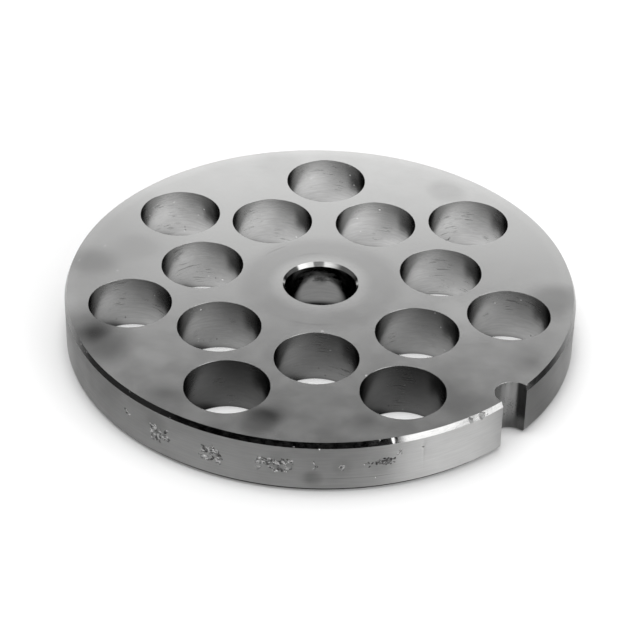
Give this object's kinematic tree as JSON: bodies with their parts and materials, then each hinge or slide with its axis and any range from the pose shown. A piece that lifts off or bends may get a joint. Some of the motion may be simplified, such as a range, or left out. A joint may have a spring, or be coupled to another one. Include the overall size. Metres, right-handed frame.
{
  "type": "meat grinder plate",
  "caption": "Flat round steel grinder plate with a centre bore, staggered circles of large through holes and a half-round keyway in the rim; minced meat is pushed through it.",
  "frame": {"origin": "centre of the plate's back face, the face it lies on", "axes": "+Z along the bore out of the knife face, +X through the keyway in the rim"},
  "size_m": [0.0991, 0.0992, 0.011],
  "materials": {
    "steel": "ground steel, lightly scuffed and hazed"
  },
  "bodies": {
    "root": {"grinder_plate": "steel"}
  },
  "joints": []
}
